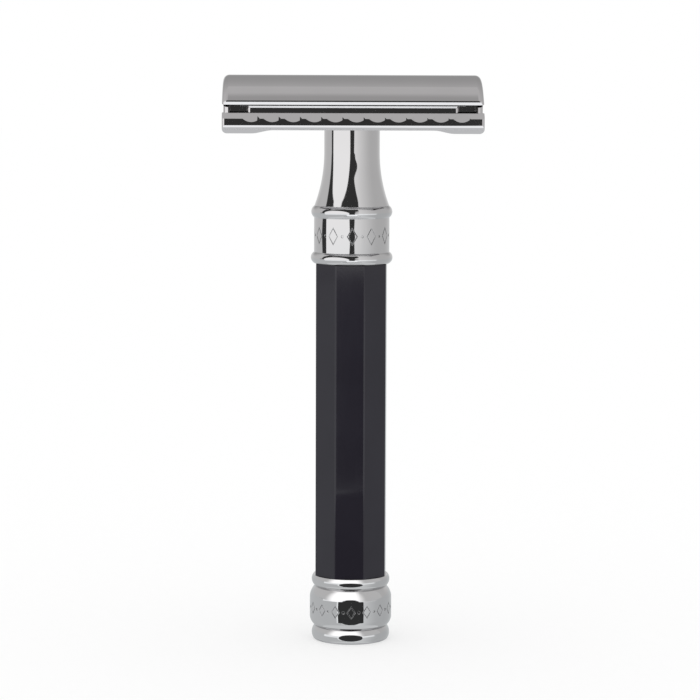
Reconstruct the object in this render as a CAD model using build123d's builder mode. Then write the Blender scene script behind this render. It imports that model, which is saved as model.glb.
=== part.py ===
from build123d import *

import os
from math import asin, cos, degrees, radians, sin, sqrt

# Safety razor with a three-piece double-edge head on an octagonal grip.
# Millimetres. +Z runs up the handle, +X along the head, and -Y is the front.
# The origin is the middle of the flat underside of the foot.

# ---- Heights of the joints between the stacked pieces ----
foot_top = 2.4
pommel_top = 11.2
grip_top = 64.6
collar_top = 74.45
neck_top = 87.9
cap_top = 96.44

# ---- Fits ----
slip = 0.03  # radial gap between pieces that locate in one another
clearance = 0.1  # gap round a rod or stud, and at the bottom of a bore

# ---- Foot and pommel ----
foot_groove_radius, foot_edge_radius = 6.17, 6.3
foot_bead_sagitta, foot_edge_fillet = 0.43, 0.5
foot_spigot_height = 1.8
band_radius, band_low, band_high = 7.0, 3.85, 7.5
shoulder_sagitta = 0.17
pommel_groove_radius, pommel_groove_height = 6.09, 9.25
pommel_rim_radius, pommel_bead_sagitta = 6.4, 0.42
nut_pocket_radius, nut_pocket_top = 4.3, 9.0
pommel_spigot_radius, pommel_spigot_height = 4.2, 3.0

# ---- Grip ----
grip_across_flats, grip_edge_fillet = 11.86, 0.45
grip_clocking = -3.5  # degrees that the facets are turned about the axis
grip_bore_radius = 2.7

# ---- Collar and neck ----
collar_foot_radius = 6.15
collar_band_radius, collar_band_low, collar_band_high = 6.395, 66.6, 72.45
lower_bead_sagitta, upper_bead_sagitta = 0.66, 0.51
neck_radius, neck_chamfer = 4.7, 0.3
flare_start, flare_radius = 83.4, 25.4  # the flare is one concave arc down to the collar
flare_turn = degrees(asin((flare_start - collar_top) / flare_radius))
flare_foot = neck_radius + flare_radius - sqrt(flare_radius**2 - (flare_start - collar_top) ** 2)
shank_radius, shank_bottom = 3.5, 58.6

# ---- Rod, stud, nut and washers ----
rod_radius, rod_bottom, rod_top = 2.0, 4.5, 66.2  # M4
stud_core_radius, stud_crest_radius, stud_pitch = 2.0, 2.45, 0.8  # M5 x 0.8
stud_bottom, stud_bore_bottom, stud_embedded = 74.6, 73.0, 1.5
thread_low, thread_turns, thread_crest_width = 75.1, 22, 0.12
thread_root_width, thread_root_depth = 0.7, 0.08
nut_across_flats, nut_height = 7.0, 3.2
spring_washer_radius, spring_washer_thickness, spring_washer_split = 3.8, 0.9, 0.8
soft_washer_radius, soft_washer_thickness = 4.8, 0.6

# ---- Cap and blade: all the head's curved faces share one centre, below the head ----
cap_half_length, cap_half_width = 21.7, 10.6
cap_lip_low, cap_lip_height = 92.07, 0.23
cap_lip_bevel, cap_bottom = 0.14, 91.6  # the lip is bevelled back under itself
cap_end_fillet, cap_corner = 1.0, 0.7
head_curve_radius = 28.0  # underside of the cap
curve_centre = cap_bottom - sqrt(head_curve_radius**2 - (cap_half_width - cap_lip_bevel) ** 2)
blade_thickness, blade_gap = 0.1, 0.03
bed_radius = head_curve_radius - blade_thickness - 2 * blade_gap
lug_offset, lug_radius, lug_tip = 14.2, 1.55, 89.6
blade_half_length, blade_width, blade_bevel = 21.5, 22.0, 0.7
blade_edge_half_length, blade_notch_half_width = 18.6, 9.5
blade_slot_length, blade_slot_width = 35.0, 1.9
blade_eye_radius, lug_hole_radius = 3.0, 1.75

# ---- Base plate ----
plate_half_length, wall_half_length = 21.65, 21.45
wall_inner, wall_half_width = 20.45, 11.0
bed_half_length, bed_half_width = 17.55, 9.6
bed_undercut, bed_undercut_height = 0.14, 91.07
channel_floor = 89.6
bar_inner, bar_crest, bar_front = 10.6, 11.25, 12.6
bar_top, slope_foot, front_foot = 90.28, 89.35, 88.3
lip_inner, lip_sagitta = 11.6, 0.2
rim_bottom, lobe_bottom, lobe_start, lobe_full = 87.46, 86.9, 13.2, 16.9
plate_corner, lobe_corner, wall_corner, bed_corner = 0.4, 0.8, 0.8, 0.5
pocket_half_length, pocket_half_width, web_thickness = 19.4, 8.6, 2.9
boss_radius, boss_bottom, stud_hole_radius = 5.6, 87.95, 2.65
corner_pocket_depth = 5.0  # how far the drained corners reach in from the bar
drain_length, drain_width = 2.3, 2.8
scallop_count, scallop_pitch, scallop_radius = 11, 3.47, 3.0
scallop_dip, scallop_slope, scallop_reach = 88.79, 50.0, 3.0
scallop_shift = 0.55  # how far the row sits off the middle of the bar

# ---- Engraved ornament ----
engraving_depth, engraving_line, dot_radius = 0.12, 0.17, 0.24
collar_lozenges, collar_lozenge_height, collar_lozenge_width = 12, 3.0, 1.8
pommel_lozenges, pommel_lozenge_height, pommel_lozenge_width = 16, 2.2, 1.5
cutter_height = 1.0


def crown(radius, across):
    """Arc about the head's centre of curvature, this far to both sides of the middle."""
    reach = degrees(asin(across / radius))
    return CenterArc((0, curve_centre), radius, 90 - reach, 2 * reach)


def crown_height(radius, across):
    """Height of such an arc at this distance from the middle."""
    return curve_centre + sqrt(radius**2 - across**2)


def around(radius, height, count, first=0.0):
    """Planes that face outward from the handle's axis, evenly spaced round it."""
    turns = [radians(first + 360 / count * turn) for turn in range(count)]
    return [
        Plane(
            (radius * sin(turn), -radius * cos(turn), height),
            x_dir=(cos(turn), sin(turn), 0),
            z_dir=(sin(turn), -cos(turn), 0),
        )
        for turn in turns
    ]


def engrave(radius, height, count, tall, wide):
    """Cuts a ring of lozenge outlines with dots between them into the part that is open."""
    depth = radius - engraving_depth
    inside = 1 - 2 * engraving_line / wide
    with BuildSketch(*around(depth, height, count)) as lozenges:
        for scale, mode in ((1, Mode.ADD), (inside, Mode.SUBTRACT)):
            up, out = scale * tall / 2, scale * wide / 2
            Polygon((0, up), (-out, 0), (0, -up), (out, 0), mode=mode)
    extrude(lozenges.sketch, amount=cutter_height, mode=Mode.SUBTRACT)
    with BuildSketch(*around(depth, height, count, first=180 / count)) as dots:
        Circle(dot_radius)
    extrude(dots.sketch, amount=cutter_height, mode=Mode.SUBTRACT)


os.makedirs("parts", exist_ok=True)

# ======== Handle, from the foot up ========

# The foot closes the nut pocket with a short spigot, and the razor stands on its flat face
with BuildPart() as pommel_foot:
    with BuildSketch(Plane.XZ):
        with BuildLine():
            Polyline(
                (foot_edge_radius, 0),
                (0, 0),
                (0, foot_top + foot_spigot_height),
                (nut_pocket_radius - slip, foot_top + foot_spigot_height),
                (nut_pocket_radius - slip, foot_top),
                (foot_groove_radius, foot_top),
            )
            SagittaArc((foot_groove_radius, foot_top), (foot_edge_radius, 0), foot_bead_sagitta)
        make_face()
    revolve(axis=Axis.Z)
    fillet(pommel_foot.edges().group_by(Axis.Z)[0], foot_edge_fillet)

# The pommel is a barrel band between two shoulders, with a bead under the grip
with BuildPart() as pommel:
    with BuildSketch(Plane.XZ):
        with BuildLine():
            Polyline(
                (foot_groove_radius, foot_top),
                (nut_pocket_radius, foot_top),
                (nut_pocket_radius, nut_pocket_top),
                (rod_radius + clearance, nut_pocket_top),
                (rod_radius + clearance, pommel_top + pommel_spigot_height),
                (pommel_spigot_radius, pommel_top + pommel_spigot_height),
                (pommel_spigot_radius, pommel_top),
                (pommel_rim_radius, pommel_top),
            )
            bead_foot = (pommel_groove_radius, pommel_groove_height)
            SagittaArc((pommel_rim_radius, pommel_top), bead_foot, pommel_bead_sagitta)
            SagittaArc(bead_foot, (band_radius, band_high), shoulder_sagitta)
            Line((band_radius, band_high), (band_radius, band_low))
            SagittaArc((band_radius, band_low), (foot_groove_radius, foot_top), shoulder_sagitta)
        make_face()
    revolve(axis=Axis.Z)
    engrave(
        band_radius,
        (band_low + band_high) / 2,
        pommel_lozenges,
        pommel_lozenge_height,
        pommel_lozenge_width,
    )

# The nut pulls the tie rod down against a split spring washer
with BuildPart() as lock_washer:
    with BuildSketch(Plane.XY.offset(nut_pocket_top - spring_washer_thickness)):
        Circle(spring_washer_radius)
        Circle(rod_radius + clearance, mode=Mode.SUBTRACT)
        with Locations((spring_washer_radius, 0)):
            Rectangle(2 * spring_washer_radius, spring_washer_split, mode=Mode.SUBTRACT)
    extrude(amount=spring_washer_thickness)

with BuildPart() as clamp_nut:
    with BuildSketch(Plane.XY.offset(nut_pocket_top - spring_washer_thickness - nut_height)):
        RegularPolygon(nut_across_flats / 2, 6, major_radius=False)
        Circle(rod_radius + slip, mode=Mode.SUBTRACT)
    extrude(amount=nut_height)

with BuildPart() as tie_rod:
    with BuildSketch(Plane.XY.offset(rod_bottom)):
        Circle(rod_radius)
    extrude(amount=rod_top - rod_bottom)
    chamfer(tie_rod.edges().filter_by(GeomType.CIRCLE), neck_chamfer)

with BuildPart() as lower_washer:
    with BuildSketch(Plane.XY.offset(pommel_top)):
        Circle(soft_washer_radius)
        Circle(pommel_spigot_radius + slip, mode=Mode.SUBTRACT)
    extrude(amount=soft_washer_thickness)

with BuildPart() as upper_washer:
    with BuildSketch(Plane.XY.offset(grip_top - soft_washer_thickness)):
        Circle(soft_washer_radius)
        Circle(shank_radius + slip, mode=Mode.SUBTRACT)
    extrude(amount=soft_washer_thickness)

# Octagonal resin sleeve, counterbored at both ends for the spigots and the soft washers
with BuildPart() as grip:
    with BuildSketch(Plane.XY.offset(pommel_top)) as octagon:
        RegularPolygon(
            grip_across_flats / 2, 8, major_radius=False, rotation=22.5 + grip_clocking
        )
        fillet(octagon.vertices(), grip_edge_fillet)
    extrude(amount=grip_top - pommel_top)
    for bottom, top, radius in (
        (pommel_top, grip_top, grip_bore_radius),
        (pommel_top, pommel_top + pommel_spigot_height + clearance, pommel_spigot_radius + slip),
        (shank_bottom - clearance, grip_top, shank_radius + slip),
        (pommel_top, pommel_top + soft_washer_thickness, soft_washer_radius + slip),
        (grip_top - soft_washer_thickness, grip_top, soft_washer_radius + slip),
    ):
        with BuildSketch(Plane.XY.offset(bottom)):
            Circle(radius)
        extrude(amount=top - bottom, mode=Mode.SUBTRACT)

# The collar is an engraved band between two beads, slipped over the neck's shank
with BuildPart() as collar:
    with BuildSketch(Plane.XZ):
        with BuildLine():
            Polyline(
                (collar_foot_radius, grip_top),
                (shank_radius + slip, grip_top),
                (shank_radius + slip, collar_top),
                (flare_foot, collar_top),
            )
            band_top = (collar_band_radius, collar_band_high)
            band_bottom = (collar_band_radius, collar_band_low)
            SagittaArc((flare_foot, collar_top), band_top, upper_bead_sagitta)
            Line(band_top, band_bottom)
            SagittaArc(band_bottom, (collar_foot_radius, grip_top), lower_bead_sagitta)
        make_face()
    revolve(axis=Axis.Z)
    engrave(
        collar_band_radius,
        (collar_band_low + collar_band_high) / 2,
        collar_lozenges,
        collar_lozenge_height,
        collar_lozenge_width,
    )

# The neck is straight under the head and flared above the collar. The stud's bore is plain,
# at the thread's outer size, and the shank's bore takes the tie rod
with BuildPart() as neck:
    bore_radius = stud_crest_radius + clearance
    with BuildSketch(Plane.XZ):
        with BuildLine():
            Polyline(
                (flare_foot, collar_top),
                (shank_radius, collar_top),
                (shank_radius, shank_bottom),
                (rod_radius, shank_bottom),
                (rod_radius, rod_top + clearance),
                (0, rod_top + clearance),
                (0, stud_bore_bottom),
                (bore_radius, stud_bore_bottom),
                (bore_radius, neck_top - neck_chamfer),
                (bore_radius + neck_chamfer, neck_top),
                (neck_radius - neck_chamfer, neck_top),
                (neck_radius, neck_top - neck_chamfer),
                (neck_radius, flare_start),
            )
            JernArc((neck_radius, flare_start), (0, -1), flare_radius, flare_turn)
        make_face()
    revolve(axis=Axis.Z)

# ======== Head ========

# The stud is fixed in the cap, and its helical thread screws into the neck
with BuildPart() as cap_stud:
    stud_top = crown_height(head_curve_radius, 0) + stud_embedded
    with BuildSketch(Plane.XY.offset(stud_bottom)):
        Circle(stud_core_radius)
    extrude(amount=stud_top - stud_bottom)
    chamfer(cap_stud.edges().group_by(Axis.Z)[0], neck_chamfer)
    with BuildSketch(Plane.XY.offset(stud_top - stud_embedded - slip)):
        Circle(stud_crest_radius)
    extrude(amount=stud_embedded + slip)
    with BuildLine() as lead:
        helix = Helix(stud_pitch, stud_pitch * thread_turns, stud_core_radius, (0, 0, thread_low))
    with BuildSketch(Plane(helix @ 0, x_dir=(1, 0, 0), z_dir=(0, 1, 0))):
        with BuildLine():
            Polyline(
                (-thread_root_depth, -thread_root_width / 2),
                (-thread_root_depth, thread_root_width / 2),
                (stud_crest_radius - stud_core_radius, thread_crest_width / 2),
                (stud_crest_radius - stud_core_radius, -thread_crest_width / 2),
                close=True,
            )
        make_face()
    sweep(path=lead.line, is_frenet=True)

# The cap is one domed extrusion with rounded ends, and two lugs that key blade and plate
with BuildPart() as cap:
    with BuildSketch(Plane.YZ):
        with BuildLine():
            lip_top = cap_lip_low + cap_lip_height
            ThreePointArc((-cap_half_width, lip_top), (0, cap_top), (cap_half_width, lip_top))
            for side in (1, -1):
                Polyline(
                    (side * cap_half_width, lip_top),
                    (side * cap_half_width, cap_lip_low),
                    (side * (cap_half_width - cap_lip_bevel), cap_bottom),
                )
            crown(head_curve_radius, cap_half_width - cap_lip_bevel)
        make_face()
    extrude(amount=cap_half_length, both=True)
    end_arcs = cap.faces().filter_by(Axis.X).edges().group_by(SortBy.LENGTH)[-1]
    fillet(end_arcs, cap_end_fillet)
    with BuildSketch(Plane.XY.offset(cap_bottom)):
        RectangleRounded(2 * cap_half_length, 2 * cap_half_width, cap_corner)
    extrude(amount=cap_top - cap_bottom, mode=Mode.INTERSECT)
    with BuildSketch(Plane.XY.offset(lug_tip)):
        with Locations((-lug_offset, 0), (lug_offset, 0)):
            Circle(lug_radius)
    extrude(amount=crown_height(head_curve_radius, 0) + slip - lug_tip)
    chamfer(cap.edges().group_by(Axis.Z)[0], neck_chamfer)
    with BuildSketch(Plane.XY.offset(crown_height(head_curve_radius, 0) - 1)):
        Circle(stud_crest_radius)
    extrude(amount=1 + stud_embedded, mode=Mode.SUBTRACT)

# The blade is bent to the head's curve, ground to an edge in front and behind, and pierced
# by the standard slot
with BuildPart() as blade:
    outer_radius = head_curve_radius - blade_gap
    inner_radius = outer_radius - blade_thickness
    middle_radius = outer_radius - blade_thickness / 2
    with BuildSketch(Plane.YZ):
        with BuildLine():
            flat = degrees((blade_width / 2 - blade_bevel) / middle_radius)
            tip = degrees(blade_width / 2 / middle_radius)
            middle = (0, curve_centre)
            upper = CenterArc(middle, outer_radius, 90 - flat, 2 * flat)
            lower = CenterArc(middle, inner_radius, 90 - flat, 2 * flat)
            spread = CenterArc(middle, middle_radius, 90 - tip, 2 * tip, mode=Mode.PRIVATE)
            for end in (0, 1):
                Polyline(upper @ end, spread @ end, lower @ end)
        make_face()
    extrude(amount=blade_half_length, both=True)
    with BuildSketch(Plane.XY.offset(cap_bottom - 1)):
        SlotOverall(blade_slot_length, blade_slot_width)
        Circle(blade_eye_radius)
        with Locations((-lug_offset, 0), (lug_offset, 0)):
            Circle(lug_hole_radius)
        notch_length = blade_half_length - blade_edge_half_length
        with Locations(
            (blade_half_length, blade_width / 2),
            (-blade_half_length, blade_width / 2),
            (blade_half_length, -blade_width / 2),
            (-blade_half_length, -blade_width / 2),
        ):
            Rectangle(2 * notch_length, blade_width - 2 * blade_notch_half_width)
    extrude(amount=cap_top - cap_bottom, mode=Mode.SUBTRACT)

# The base plate has a convex bed, channels in front and behind, and guard bars outside them
with BuildPart() as base_plate:
    bed_edge = crown_height(bed_radius, bed_half_width)
    with BuildSketch(Plane.YZ):
        with BuildLine():
            Polyline(
                (bed_half_width, bed_edge),
                (bed_half_width - bed_undercut, bed_undercut_height),
                (bed_half_width - bed_undercut, channel_floor),
                (bar_inner, channel_floor),
                (bar_inner, bar_top),
                (bar_crest, bar_top),
                (bar_front, slope_foot),
                (bar_front, front_foot),
            )
            SagittaArc((bar_front, front_foot), (lip_inner, lobe_bottom), lip_sagitta)
            Line((lip_inner, lobe_bottom), (0, lobe_bottom))
            mirror(about=Plane.YZ)
            crown(bed_radius, bed_half_width)
        make_face()
    extrude(amount=plate_half_length, both=True)
    uprights = base_plate.edges().filter_by(Axis.Z).group_by(Axis.Y)
    fillet(uprights[0] + uprights[-1], plate_corner)

    # End walls close the channels and carry the blade's ends on the bed's curve
    with BuildSketch(Plane.YZ.offset(wall_inner), Plane.YZ.offset(-wall_half_length)):
        with BuildLine():
            wall_edge = crown_height(bed_radius, wall_half_width)
            crown(bed_radius, wall_half_width)
            Polyline(
                (wall_half_width, wall_edge),
                (wall_half_width, channel_floor),
                (-wall_half_width, channel_floor),
                (-wall_half_width, wall_edge),
            )
        make_face()
    extrude(amount=wall_half_length - wall_inner)

    # The ends swell down into lobes with round corners
    with BuildSketch(Plane.XZ):
        with BuildLine():
            Line((0, rim_bottom), (lobe_start, rim_bottom))
            Spline(
                (lobe_start, rim_bottom), (lobe_full, lobe_bottom), tangents=((1, 0), (1, 0))
            )
            FilletPolyline(
                (lobe_full, lobe_bottom),
                (plate_half_length, lobe_bottom),
                (plate_half_length, cap_top),
                radius=lobe_corner,
            )
            Line((plate_half_length, cap_top), (0, cap_top))
            mirror(about=Plane.YZ)
        make_face()
    extrude(amount=2 * bar_front, both=True, mode=Mode.INTERSECT)

    # Above the bars, the ends step in to the end walls
    with BuildSketch(Plane.XY.offset(bar_top)):
        Rectangle(4 * plate_half_length, 4 * bar_front)
        RectangleRounded(
            2 * wall_half_length, 2 * wall_half_width, wall_corner, mode=Mode.SUBTRACT
        )
    extrude(amount=cap_top - bar_top, mode=Mode.SUBTRACT)

    # The underside is hollowed to an even web, with a boss that seats on the neck
    with BuildSketch(Plane.YZ):
        with BuildLine():
            web_radius = bed_radius - web_thickness
            web_edge = crown_height(web_radius, pocket_half_width)
            crown(web_radius, pocket_half_width)
            Polyline(
                (pocket_half_width, web_edge),
                (pocket_half_width, lobe_bottom),
                (-pocket_half_width, lobe_bottom),
                (-pocket_half_width, web_edge),
            )
        make_face()
    extrude(amount=pocket_half_length, both=True, mode=Mode.SUBTRACT)
    with BuildSketch(Plane.XY.offset(boss_bottom)):
        Circle(boss_radius)
    extrude(amount=crown_height(web_radius, 0) + clearance - boss_bottom)

    # Drained pockets at the corners, between the bed and the end walls
    corners = GridLocations(
        bed_half_length + wall_inner, 2 * bar_inner - corner_pocket_depth, 2, 2
    )
    with BuildSketch(Plane.XY.offset(channel_floor)):
        with corners:
            Rectangle(wall_inner - bed_half_length, corner_pocket_depth)
    extrude(amount=cap_top - channel_floor, mode=Mode.SUBTRACT)
    bed_corners = base_plate.edges().filter_by(
        lambda edge: abs(abs(edge.center().X) - bed_half_length) < slip
        and abs(edge.center().Y) > bed_half_width - bed_undercut - slip
        and edge.center().Z > channel_floor + slip
    )
    fillet(bed_corners, bed_corner)
    with BuildSketch(Plane.XY.offset(lobe_bottom)):
        with corners:
            RectangleRounded(drain_length, drain_width, drain_length / 3)
    extrude(amount=cap_top - lobe_bottom, mode=Mode.SUBTRACT)

    # Holes for the stud and the cap's lugs
    with BuildSketch(Plane.XY.offset(lobe_bottom)):
        Circle(stud_hole_radius)
        with Locations((-lug_offset, 0), (lug_offset, 0)):
            Circle(lug_hole_radius)
    extrude(amount=cap_top - lobe_bottom, mode=Mode.SUBTRACT)

    # Scoops along each guard bar, deepest at its front face and gone at its crest
    for side in (1, -1):
        tilt = radians(scallop_slope)
        scoops = Plane(
            (side * scallop_shift, -side * bar_front, scallop_dip),
            x_dir=(side, 0, 0),
            z_dir=(0, side * cos(tilt), sin(tilt)),
        )
        with BuildSketch(scoops) as row:
            with Locations((0, -scallop_radius)):
                with GridLocations(scallop_pitch, 1, scallop_count, 1):
                    Circle(scallop_radius)
        extrude(row.sketch, amount=scallop_reach, both=True, mode=Mode.SUBTRACT)

for name, piece in (
    ("pommel_foot", pommel_foot),
    ("pommel", pommel),
    ("lock_washer", lock_washer),
    ("clamp_nut", clamp_nut),
    ("tie_rod", tie_rod),
    ("lower_washer", lower_washer),
    ("upper_washer", upper_washer),
    ("grip", grip),
    ("collar", collar),
    ("neck", neck),
    ("cap_stud", cap_stud),
    ("cap", cap),
    ("blade", blade),
    ("base_plate", base_plate),
):
    piece.part.label = name
    export_step(piece.part, f"parts/{name}.step")
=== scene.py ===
from math import cos, pi, radians, sin

import bmesh
import bpy
from mathutils import Matrix, Vector

# Safety razor: materials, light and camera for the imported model. Metres and degrees.
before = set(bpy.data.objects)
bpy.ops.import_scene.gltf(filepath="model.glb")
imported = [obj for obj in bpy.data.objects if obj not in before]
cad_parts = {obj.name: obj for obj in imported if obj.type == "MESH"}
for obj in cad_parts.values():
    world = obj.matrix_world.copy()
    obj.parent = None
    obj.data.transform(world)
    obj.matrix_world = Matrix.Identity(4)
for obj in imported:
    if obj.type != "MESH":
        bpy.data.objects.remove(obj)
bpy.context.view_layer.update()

# ---- Viewpoint ----
view_distance, view_height, view_pitch = 0.4745, 0.1005, 6.1
view_azimuth, view_sideways, view_roll = -0.9, -0.00023, 0.19
lens, sensor = 144, 36  # millimetres

# An edge, here and below, is a pair: where it is, and how far it is blurred to each side

# ---- Metal: the scales of its noises are in cycles per metre ----
line_scale, smudge_scale, speck_scale = 9000, 160, 2600
smudge_edge, speck_edge, tarnish_edge = (0.52, 0.22), (0.72, 0.05), (0.5, 0.3)
line_roughness, smudge_bump, tarnish = 0.6, 2.0, 0.97
# Painted shade and grime in recesses: darker, rougher metal where ambient occlusion finds a hollow
shade_and_grime_reach, shade_and_grime_edge = 0.0005, (0.6, 0.3)
shade_and_grime_colour, shade_and_grime_roughness = (0.10, 0.105, 0.115, 1), 0.25
edge_softness, head_softness = 0.00006, 0.00002

# How the lines lie: a number over 1 squeezes the noise along its axis, and one under 1 draws it out
around, along_head, along_screw, along_grip = (1, 1, 9), (0.08, 1, 1), (1, 1, 3), (1, 1, 0.05)

# ---- Resin and nylon ----
haze_scale, hairline_scale, haze_edge, haze_gloss_edge = 90, 2400, (0.5, 0.2), (0.55, 0.2)
resin_dark, resin_light = (0.0165, 0.0148, 0.0212, 1), (0.0190, 0.0173, 0.0245, 1)
resin_roughness, haze_roughness, hairline_roughness = 0.053, 0.02, 0.04
resin_softness, resin_relief, haze_bump, resin_ior = 0.0001, 0.000002, 2.0, 1.4
mottle_scale, nylon_relief = 1200, 0.00001
nylon_dark, nylon_light = (0.62, 0.60, 0.55, 1), (0.75, 0.73, 0.68, 1)
nylon_roughness, mottle_roughness = 0.4, 0.2

# ---- Studio: a white room, and a light tent that only reflections see ----
floor_radius, floor_pale, floor_glow = 3.0, 0.5, 0.5
floor_grain, floor_grain_scale = 0.02, 400
tent_radius, tent_low, tent_high = 0.25, -0.25, 0.5
dark, white, strip_white, awning_white = 0.045, 1.25, 1.45, 1.7  # what each gives off
cool_tint, cool_top = (0.955, 0.985, 1.0, 1), (0.045, 0.02)  # light is cooler below this height

# Heights are from the floor, and azimuths are from the viewer, with the left negative
left_wall, right_wall, right_wall_start = 0.70, 0.62, (0.0, 5.0)
right_wall_glow, right_wall_glow_end = 0.45, (40.0, 50.0)
back_wall, back_wall_start = 0.24, (140.0, 25.0)
back_wall_rise = 0.69  # the back wall is this much lighter for each metre of height
back_wall_foot, back_wall_foot_top = 0.45, (0.13, 0.04)  # and its foot is lighter still
glint_middle, glint_half_width, glint_glow = 46.0, (28.0, 4.0), 0.5  # for the grip's right edge
glint_foot, glint_top = (-0.013, 0.004), (0.037, 0.004)
roof, roof_ring, ring_start, roof_front = 0.478, 0.175, (0.097, 0.04), (-0.02, 0.02)
tent_base, tent_end_blur = 0.85, 0.001

# A white strip stands under the gap, and its foot is at the base's level
strip_half_width, strip_foot, strip_top = (16.0, 2.0), (-0.14, 0.01), (-0.013, 0.004)

# The panel has straight sides up to its shoulder, and an arch above
panel_middle, panel_half_width, panel_foot = -46.0, 38.0, (-0.02, 0.004)
panel_shoulder, panel_arch, panel_arch_power, panel_blur = 0.07, 0.172, 1.5, 0.04
surround_left, surround_foot = -93.0, (0.044, 0.004)
surround_spread, surround_spread_top = 8.0, (0.062, 0.006)  # it is wider below this height
surround_left_blur, surround_join_blur = 1.5, 0.8
gap_right, gap_right_blur, gap_flare, gap_flare_foot = 8.0, 1.0, 14.0, (0.2, 0.05)
gap_bulge, gap_bulge_height, gap_bulge_half_height = 12.0, 0.113, (0.02, 0.018)

# The card's rim is a white one of the same outline, a little to its left and just behind it
card_width, card_height, card_middle = 0.041, 0.035, Vector((0.0, -0.060, -0.008))
card_lean, card_seen_from = 30.0, Vector((0.0, -0.007, 0.0057))
rim_aside, rim_reach = 0.006, 1.006
awning_height, awning_foot, awning_near, awning_far = 0.0648, 0.0445, 0.012, 0.249
awning_left, awning_right, awning_steps = -150.0, 100.0, 36
awning_glow_middle, awning_glow_half_width = -18.0, (48.0, 16.0)


# ======== Node trees ========


class Number:
    """A number in a node tree, which may be added, scaled and compared like a plain one."""

    def __init__(self, tree, socket):
        self.tree, self.socket = tree, socket

    def combine(self, operation, *others):
        node = self.tree.nodes.new("ShaderNodeMath")
        node.operation = operation
        for slot, value in zip(node.inputs, (self, *others)):
            connect(value, slot)
        return Number(self.tree, node.outputs[0])

    def __add__(self, other):
        return self.combine("ADD", other)

    def __sub__(self, other):
        return self.combine("SUBTRACT", other)

    def __mul__(self, other):
        return self.combine("MULTIPLY", other)

    def above(self, edge, blur):
        """0 below the edge and 1 above it, with a smooth step between."""
        node = self.tree.nodes.new("ShaderNodeMapRange")
        node.interpolation_type = "SMOOTHSTEP"
        connect(self - edge, node.inputs["Value"])
        node.inputs["From Min"].default_value = -blur
        node.inputs["From Max"].default_value = blur
        return Number(self.tree, node.outputs[0])

    def below(self, edge, blur):
        """1 below the edge and 0 above it, with a smooth step between."""
        return (self - edge).combine("MULTIPLY", -1).above(0.0, blur)

    def within(self, middle, half_width):
        """1 near the middle and 0 past the edge on either side, with smooth steps between."""
        return (self - middle).combine("ABSOLUTE").below(*half_width)

    def toward(self, other, amount):
        """This number where the amount is 0, the other where it is 1, and between them a mix."""
        return self * (amount * -1.0 + 1.0) + amount * other


def connect(value, slot):
    """Puts a number, colour, node output or Number into a node's input."""
    if isinstance(value, Number):
        value = value.socket
    if isinstance(value, bpy.types.NodeSocket):
        slot.node.id_data.links.new(value, slot)
    else:
        slot.default_value = value


def add(tree, kind, settings=None, **inputs):
    """A new node with its settings, and its inputs given by name with _ for a space."""
    node = tree.nodes.new("ShaderNode" + kind)
    for name, value in (settings or {}).items():
        setattr(node, name, value)
    for name, value in inputs.items():
        connect(value, node.inputs[name.replace("_", " ")])
    return node


def new_material(name):
    """An empty material and its node tree."""
    material = bpy.data.materials.new(name)
    material.use_nodes = True
    material.node_tree.nodes.clear()
    return material, material.node_tree


def noise(tree, scale, detail=2.0, stretch=(1, 1, 1), offset=0.0):
    """Noise by the object's own coordinates, each of them first multiplied by its stretch."""
    place = add(tree, "TexCoord").outputs["Object"]
    moved = add(
        tree, "Mapping", Vector=place, Scale=stretch, Location=(offset, offset, offset)
    ).outputs[0]
    made = add(tree, "TexNoise", Vector=moved, Scale=scale, Detail=detail)
    return Number(tree, made.outputs[0])


def blend(tree, amount, low, high):
    """A colour between two, by amount. Sockets 6, 7 and 2 are the node's colour ones."""
    node = add(tree, "Mix", {"data_type": "RGBA"})
    connect(amount, node.inputs[0])
    connect(low, node.inputs[6])
    connect(high, node.inputs[7])
    return node.outputs[2]


def scaled(colour, amount):
    """An opaque colour, lighter or darker by the amount."""
    return [channel * amount for channel in colour[:3]] + [1]


# ======== Materials ========


def metal(name, colour, roughness, smudge, lay, lay_height, shade_and_grime=0.0, soft=edge_softness):
    """Polished or satin metal with fine lines along its lay, faint smudges, and painted shade and
    grime in recesses.
    """
    material, tree = new_material(name)
    lines = noise(tree, line_scale, detail=3.0, stretch=lay)
    smudges = noise(tree, smudge_scale, detail=4.0)
    specks = noise(tree, speck_scale, offset=3.0).above(*speck_edge)
    rough = smudges.above(*smudge_edge) * smudge + lines * (smudge * line_roughness)
    rough = rough + specks * smudge + roughness
    shade = blend(tree, smudges.above(*tarnish_edge), colour, scaled(colour, tarnish))
    # Painted shade and grime: darkens and roughens the metal where ambient occlusion finds a recess
    if shade_and_grime:
        recess = add(tree, "AmbientOcclusion", {"samples": 12}, Distance=shade_and_grime_reach)
        recess_shade_and_grime = Number(tree, recess.outputs["AO"]).below(*shade_and_grime_edge) * shade_and_grime
        shade = blend(tree, recess_shade_and_grime, shade, shade_and_grime_colour)
        rough = rough + recess_shade_and_grime * shade_and_grime_roughness
    soft_edge = add(tree, "Bevel", {"samples": 6}, Radius=soft).outputs[0]
    relief = lines + smudges * smudge_bump
    bump = add(tree, "Bump", Height=relief, Distance=lay_height, Normal=soft_edge).outputs[0]
    shader = add(
        tree, "BsdfPrincipled", Base_Color=shade, Metallic=1.0, Roughness=rough, Normal=bump
    )
    connect(shader.outputs[0], add(tree, "OutputMaterial").inputs[0])
    return material


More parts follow.
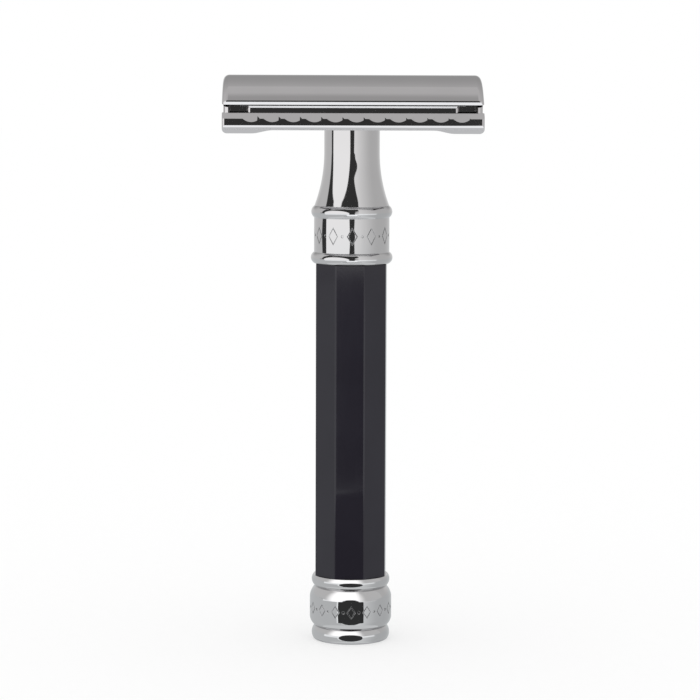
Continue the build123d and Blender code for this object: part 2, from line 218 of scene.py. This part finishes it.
def resin(name):
    """Glossy black moulded resin with hairline scratches and a faint haze from handling."""
    material, tree = new_material(name)
    haze = noise(tree, haze_scale, detail=5.0)
    hairlines = noise(tree, hairline_scale, detail=3.0, stretch=along_grip)
    shade = blend(tree, haze.above(*haze_edge), resin_dark, resin_light)
    rough = haze.above(*haze_gloss_edge) * haze_roughness + hairlines * hairline_roughness
    rough = rough + resin_roughness
    soft_edge = add(tree, "Bevel", {"samples": 6}, Radius=resin_softness).outputs[0]
    relief = hairlines + haze * haze_bump
    bump = add(tree, "Bump", Height=relief, Distance=resin_relief, Normal=soft_edge).outputs[0]
    shader = add(tree, "BsdfPrincipled", Base_Color=shade, Roughness=rough, Normal=bump)
    shader.inputs["IOR"].default_value = resin_ior
    connect(shader.outputs[0], add(tree, "OutputMaterial").inputs[0])
    return material


def nylon(name):
    """Pale moulded nylon, slightly mottled."""
    material, tree = new_material(name)
    mottle = noise(tree, mottle_scale, detail=4.0)
    shade = blend(tree, mottle, nylon_dark, nylon_light)
    rough = mottle * mottle_roughness + nylon_roughness
    bump = add(tree, "Bump", Height=mottle, Distance=nylon_relief).outputs[0]
    shader = add(tree, "BsdfPrincipled", Base_Color=shade, Roughness=rough, Normal=bump)
    connect(shader.outputs[0], add(tree, "OutputMaterial").inputs[0])
    return material


finishes = {
    "handle_chrome": metal(
        "handle_chrome",
        (0.62, 0.612, 0.615, 1),
        roughness=0.03,
        smudge=0.02,
        lay=around,
        lay_height=0.0000002,
        # painted shade and grime in the handle's recesses
        shade_and_grime=0.4,
    ),
    "head_chrome": metal(
        "head_chrome",
        (0.60, 0.584, 0.589, 1),
        roughness=0.03,
        smudge=0.015,
        lay=along_head,
        lay_height=0.0000002,
        soft=head_softness,
    ),
    "blade_steel": metal(
        "blade_steel",
        (0.66, 0.66, 0.67, 1),
        roughness=0.16,
        smudge=0.06,
        lay=along_head,
        lay_height=0.000001,
    ),
    "screw_steel": metal(
        "screw_steel",
        (0.55, 0.545, 0.54, 1),
        roughness=0.20,
        smudge=0.08,
        lay=along_screw,
        lay_height=0.000002,
        # painted shade and grime in the screw's recesses
        shade_and_grime=0.5,
    ),
    "black_resin": resin("black_resin"),
    "nylon": nylon("nylon"),
}
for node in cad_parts.values():
    for slot in node.material_slots:
        slot.material = finishes[slot.material.name.split(".")[0]]


# ======== Camera ========

scene = bpy.context.scene
camera = bpy.data.objects.new("camera", bpy.data.cameras.new("camera"))
scene.collection.objects.link(camera)
camera.data.lens, camera.data.sensor_width = lens, sensor
camera.data.clip_start, camera.data.clip_end = 0.01, 20
camera.matrix_world = (
    Matrix.Rotation(radians(view_azimuth), 4, "Z")
    @ Matrix.Translation((view_sideways, -view_distance, view_height))
    @ Matrix.Rotation(radians(90 - view_pitch), 4, "X")
    @ Matrix.Rotation(radians(view_roll), 4, "Z")
)
bpy.context.scene.camera = camera


# ======== Room and floor ========

scene.view_settings.view_transform = "Standard"
scene.world = bpy.data.worlds.new("room")
scene.world.use_nodes = True
scene.world.node_tree.nodes["Background"].inputs["Color"].default_value = (1, 1, 1, 1)


def stage_piece(name, shape, material):
    """A piece of the studio, made from a bmesh."""
    mesh = bpy.data.meshes.new(name)
    shape.to_mesh(mesh)
    shape.free()
    mesh.materials.append(material)
    piece = bpy.data.objects.new(name, mesh)
    scene.collection.objects.link(piece)
    return piece


def floor_material():
    """Pale matt floor with a little glow of its own, so that its shadows stay light."""
    material, tree = new_material("pale_floor")
    grain = noise(tree, floor_grain_scale, detail=3.0)
    pale = [floor_pale] * 3
    shade = blend(tree, grain, scaled(pale, 1 - floor_grain), scaled(pale, 1 + floor_grain))
    matt = add(tree, "BsdfDiffuse", Color=shade)
    glow = add(tree, "Emission", Color=(1, 1, 1, 1), Strength=floor_glow)
    both = add(tree, "AddShader")
    connect(matt.outputs[0], both.inputs[0])
    connect(glow.outputs[0], both.inputs[1])
    connect(both.outputs[0], add(tree, "OutputMaterial").inputs[0])
    return material


shape = bmesh.new()
bmesh.ops.create_circle(shape, cap_ends=True, radius=floor_radius, segments=96)
floor = stage_piece("floor", shape, floor_material())
floor.visible_glossy = False


# ======== Light tent, cards and awning ========


def glowing(name, paint, one_sided):
    """A lining that gives off the level that paint works out from the place on it."""
    material, tree = new_material(name)
    place = add(tree, "SeparateXYZ", Vector=add(tree, "TexCoord").outputs["Object"])
    x, y, height = (Number(tree, out) for out in place.outputs)
    tint = blend(tree, height.below(*cool_top), (1, 1, 1, 1), cool_tint)
    shader = add(tree, "Emission", Color=tint, Strength=paint(x, y, height))
    if one_sided:
        behind = add(tree, "NewGeometry").outputs["Backfacing"]
        both = add(tree, "MixShader", Fac=behind)
        connect(shader.outputs[0], both.inputs[1])
        connect(add(tree, "BsdfTransparent").outputs[0], both.inputs[2])
        shader = both
    connect(shader.outputs[0], add(tree, "OutputMaterial").inputs[0])
    material.cycles.emission_sampling = "NONE"
    return material


def azimuth_of(x, y):
    """The direction of a place from the handle's axis: 0 towards the viewer, left negative."""
    return x.combine("ARCTAN2", y * -1.0) * (180 / pi)


def even(level):
    """Paints the same level all over."""
    return lambda x, y, height: level


def tent_lining(x, y, height):
    """Grey walls, and in front a dark surround with an arched white panel to its left."""
    azimuth = azimuth_of(x, y)
    right_side = azimuth.below(*right_wall_glow_end) * right_wall_glow + right_wall
    wall = right_side.toward(left_wall, azimuth.below(*right_wall_start))
    glint = height.above(*glint_foot) * height.below(*glint_top)
    wall = wall + glint * azimuth.within(glint_middle, glint_half_width) * glint_glow
    foot = height.below(*back_wall_foot_top) * back_wall_foot
    back = height * back_wall_rise + foot + back_wall
    wall = wall.toward(back, azimuth.combine("ABSOLUTE").above(*back_wall_start))
    strip = height.below(*strip_top) * azimuth.within(0.0, strip_half_width)
    strip_level = height.above(*strip_foot) * (strip_white - tent_base) + tent_base
    wall = wall.toward(strip_level, strip)

    # The surround's gap is to the right of the panel, and its margin is round the panel
    panel_edge = panel_middle + panel_half_width
    bulge = height.within(gap_bulge_height, gap_bulge_half_height) * gap_bulge
    gap_edge = bulge + height.above(*gap_flare_foot) * gap_flare + gap_right
    gap = (azimuth - gap_edge).below(0.0, gap_right_blur)
    gap = gap * azimuth.above(panel_edge, surround_join_blur)
    margin_edge = height.below(*surround_spread_top) * -surround_spread + surround_left
    margin = (azimuth - margin_edge).above(0.0, surround_left_blur)
    margin = margin * azimuth.below(panel_edge, surround_join_blur)
    surround = gap + margin * height.above(*surround_foot)
    level = wall.toward(dark, surround * (strip * -1.0 + 1.0))

    rise = (height - panel_shoulder).combine("MAXIMUM", 0.0) * (1 / panel_arch)
    turn = (azimuth - panel_middle) * (1 / panel_half_width)
    arch = turn * turn + rise.combine("POWER", panel_arch_power)
    panel = arch.below(1.0, panel_blur) * height.above(*panel_foot)
    level = level.toward(white, panel)

    # The roof is darker over the handle and just behind it
    reach = (x * x + y * y).combine("SQRT")
    ring = reach.above(*ring_start).combine("MAXIMUM", y.below(*roof_front))
    top = height.above(tent_high - 2 * tent_end_blur, tent_end_blur)
    base = height.below(tent_low + 2 * tent_end_blur, tent_end_blur)
    return level.toward(ring * roof_ring + roof, top).toward(tent_base, base)


def awning_lining(x, y, height):
    """White in front of the handle, fading to the walls' grey at both sides."""
    glow = azimuth_of(x, y).within(awning_glow_middle, awning_glow_half_width)
    return glow * (awning_white - left_wall) + left_wall


def seen_in_reflections(name, shape, paint, one_sided=True):
    """A glowing piece of the studio that only reflections see."""
    piece = stage_piece(name, shape, glowing(name, paint, one_sided))
    piece.visible_camera = piece.visible_diffuse = piece.visible_shadow = False
    piece.visible_transmission = piece.visible_volume_scatter = False


shape = bmesh.new()
bmesh.ops.create_cone(
    shape,
    cap_ends=True,
    segments=180,
    radius1=tent_radius,
    radius2=tent_radius,
    depth=tent_high - tent_low,
    matrix=Matrix.Translation((0, 0, (tent_high + tent_low) / 2)),
)
seen_in_reflections("light_tent", shape, tent_lining, one_sided=False)

# The cards are ellipses as the pommel sees them, and lean so that the head sees only their
# transparent backs
facing = Matrix.Rotation(radians(-card_lean), 3, "X") @ Vector((0, 1, 0))
for name, level, aside, further in (
    ("dark_card", dark, 0.0, 1.0),
    ("card_rim", white, rim_aside, rim_reach),
):
    shape = bmesh.new()
    spot = Matrix.Translation(card_middle - Vector((aside, 0, 0)))
    outline = Matrix.Diagonal((card_width, 1, card_height, 1))
    upright = Matrix.Rotation(-pi / 2, 4, "X")
    bmesh.ops.create_circle(
        shape, cap_ends=True, radius=1, segments=64, matrix=spot @ outline @ upright
    )
    for corner in shape.verts:
        ray = corner.co - card_seen_from
        reach = facing.dot(card_middle - card_seen_from) / facing.dot(ray)
        corner.co = card_seen_from + ray * (reach * further)
    seen_in_reflections(name, shape, even(level))

# The awning slopes down from the handle to the tent, and only its underside is seen
shape = bmesh.new()
rows = []
for step in range(awning_steps + 1):
    azimuth = radians(awning_left + (awning_right - awning_left) * step / awning_steps)
    rows.append(
        [
            shape.verts.new((reach * sin(azimuth), -reach * cos(azimuth), height))
            for reach, height in ((awning_near, awning_height), (awning_far, awning_foot))
        ]
    )
for (near, far), (next_near, next_far) in zip(rows, rows[1:]):
    shape.faces.new((near, next_near, next_far, far))
seen_in_reflections("awning", shape, awning_lining)
